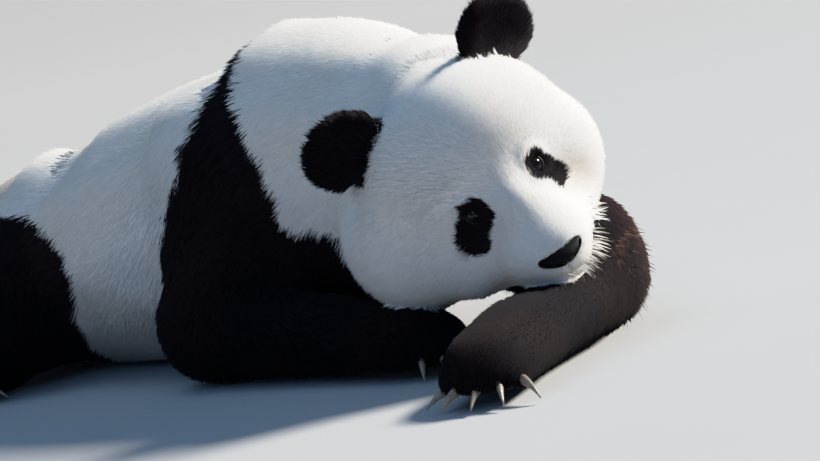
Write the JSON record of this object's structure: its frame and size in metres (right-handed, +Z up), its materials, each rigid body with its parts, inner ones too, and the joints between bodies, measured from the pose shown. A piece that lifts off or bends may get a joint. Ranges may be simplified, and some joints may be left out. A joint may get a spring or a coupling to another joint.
{
  "type": "giant panda",
  "caption": "Life-size still model of a giant panda lying on its belly, head rolled to one side with cheek and chin on its forelegs.",
  "frame": {"origin": "on the floor, in the middle of the flat under the belly", "axes": "-Y is where the panda faces, along its spine; +X is its left; +Z is up from the floor"},
  "size_m": [0.9084, 1.7093, 0.4797],
  "materials": {
    "white_coat": "thick creamy white fur, soft and matt",
    "black_coat": "thick brownish black fur with a soft sheen",
    "eye": "wet, dark brown",
    "nose_skin": "damp black skin with a fine grain",
    "claw": "smooth ivory horn"
  },
  "bodies": {
    "root": {"head": "white_coat", "neck": "white_coat", "trunk": "white_coat", "tail": "white_coat", "ear_right": "black_coat", "ear_left": "black_coat", "eye_right": "eye", "eye_left": "eye", "nose_pad": "nose_skin", "upper_arm_right": "black_coat", "forearm_right": "black_coat", "paw_right": "black_coat", "upper_arm_left": "black_coat", "forearm_left": "black_coat", "paw_left": "black_coat", "thigh_right": "black_coat", "shank_right": "black_coat", "hind_foot_right": "black_coat", "thigh_left": "black_coat", "shank_left": "black_coat", "hind_foot_left": "black_coat", "claw_fore_right_1": "claw", "claw_fore_right_2": "claw", "claw_fore_right_3": "claw", "claw_fore_right_4": "claw", "claw_fore_right_5": "claw", "claw_fore_left_1": "claw", "claw_fore_left_2": "claw", "claw_fore_left_3": "claw", "claw_fore_left_4": "claw", "claw_fore_left_5": "claw", "claw_hind_right_1": "claw", "claw_hind_right_2": "claw", "claw_hind_right_3": "claw", "claw_hind_right_4": "claw", "claw_hind_right_5": "claw", "claw_hind_left_1": "claw", "claw_hind_left_2": "claw", "claw_hind_left_3": "claw", "claw_hind_left_4": "claw", "claw_hind_left_5": "claw"}
  },
  "joints": []
}
